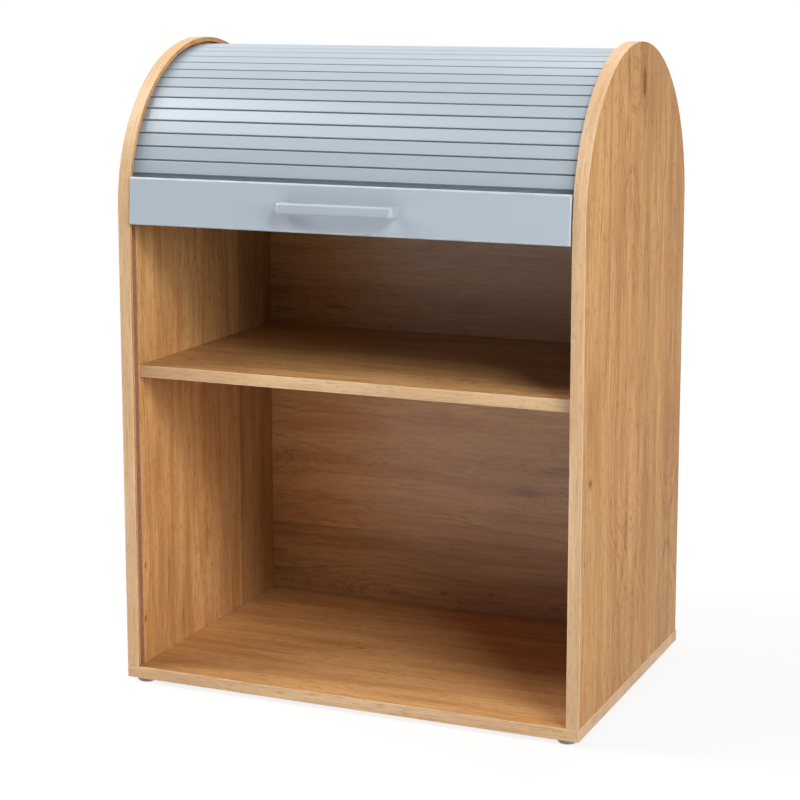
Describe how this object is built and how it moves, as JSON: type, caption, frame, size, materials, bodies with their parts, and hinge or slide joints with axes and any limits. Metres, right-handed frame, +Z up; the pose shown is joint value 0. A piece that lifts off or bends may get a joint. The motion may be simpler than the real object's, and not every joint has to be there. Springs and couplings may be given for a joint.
{
  "type": "storage cabinet",
  "caption": "Free-standing wooden cabinet with half-round side boards, a shelf and a roll shutter of slats with an end rail and bridge handle.",
  "frame": {"origin": "on the floor, in the middle of the whole object's width and depth, handle included", "axes": "+X to the right seen from the front, +Y to the back, +Z up"},
  "size_m": [0.6, 0.4388, 0.806],
  "materials": {
    "oak_upright": "light oak decor, grain upright, satin",
    "oak_level": "light oak decor, grain level, satin",
    "hardboard": "plain brown hardboard, matt",
    "curtain_plastic": "pale grey-blue, satin",
    "rail_plastic": "pale grey-blue, satin",
    "guide_plastic": "off-white, smooth",
    "foot_plastic": "grey, matt",
    "zinc_steel": "zinc plated"
  },
  "bodies": {
    "carcass": {"base_panel": "oak_level", "left_side_panel": "oak_upright", "right_side_panel": "oak_upright", "middle_shelf": "oak_level", "inner_back_panel": "oak_level", "top_stretcher": "oak_level", "outer_back_panel": "hardboard", "curtain_slat_01": "curtain_plastic", "curtain_slat_02": "curtain_plastic", "curtain_slat_03": "curtain_plastic", "curtain_slat_04": "curtain_plastic", "curtain_slat_05": "curtain_plastic", "curtain_slat_06": "curtain_plastic", "curtain_slat_07": "curtain_plastic", "curtain_slat_08": "curtain_plastic", "curtain_slat_09": "curtain_plastic", "curtain_slat_10": "curtain_plastic", "curtain_slat_11": "curtain_plastic", "curtain_slat_12": "curtain_plastic", "curtain_slat_13": "curtain_plastic", "curtain_slat_14": "curtain_plastic", "curtain_slat_15": "curtain_plastic", "curtain_slat_16": "curtain_plastic", "curtain_slat_17": "curtain_plastic", "curtain_slat_18": "curtain_plastic", "curtain_slat_19": "curtain_plastic", "curtain_slat_20": "curtain_plastic", "curtain_slat_21": "curtain_plastic", "curtain_slat_22": "curtain_plastic", "curtain_slat_23": "curtain_plastic", "curtain_slat_24": "curtain_plastic", "curtain_slat_25": "curtain_plastic", "curtain_slat_26": "curtain_plastic", "curtain_slat_27": "curtain_plastic", "curtain_slat_28": "curtain_plastic", "curtain_slat_29": "curtain_plastic", "curtain_slat_30": "curtain_plastic", "curtain_slat_31": "curtain_plastic", "curtain_slat_32": "curtain_plastic", "curtain_slat_33": "curtain_plastic", "curtain_tail": "curtain_plastic", "curtain_front_stretch": "curtain_plastic", "foot_front_left": "foot_plastic", "foot_front_right": "foot_plastic", "foot_back_left": "foot_plastic", "foot_back_right": "foot_plastic", "base_screw_front_left": "zinc_steel", "base_screw_front_right": "zinc_steel", "base_screw_back_left": "zinc_steel", "base_screw_back_right": "zinc_steel"},
    "guide_rollers": {"lower_guide_left": "guide_plastic", "lower_guide_right": "guide_plastic"},
    "end_rail": {"end_rail": "rail_plastic", "pull_handle": "rail_plastic", "handle_screw_left": "zinc_steel", "handle_screw_right": "zinc_steel", "upper_guide_left": "guide_plastic", "upper_guide_right": "guide_plastic"}
  },
  "joints": [
    {"name": "shutter_slide", "type": "slide", "parent": "carcass", "child": "guide_rollers", "axis": [0, 0, -1], "range_m": [0, 0.561], "deforming": ["curtain_front_stretch", "curtain_tail"]},
    {"name": "rail_tilt", "type": "hinge", "parent": "guide_rollers", "child": "end_rail", "pos_m": [0, -0.18507, 0.588], "axis": [1, 0, 0], "range_deg": [0, 3.22]}
  ],
  "couplings": [
    {"joint": "rail_tilt", "follows": "shutter_slide", "rad_per_m": 0.1003}
  ]
}
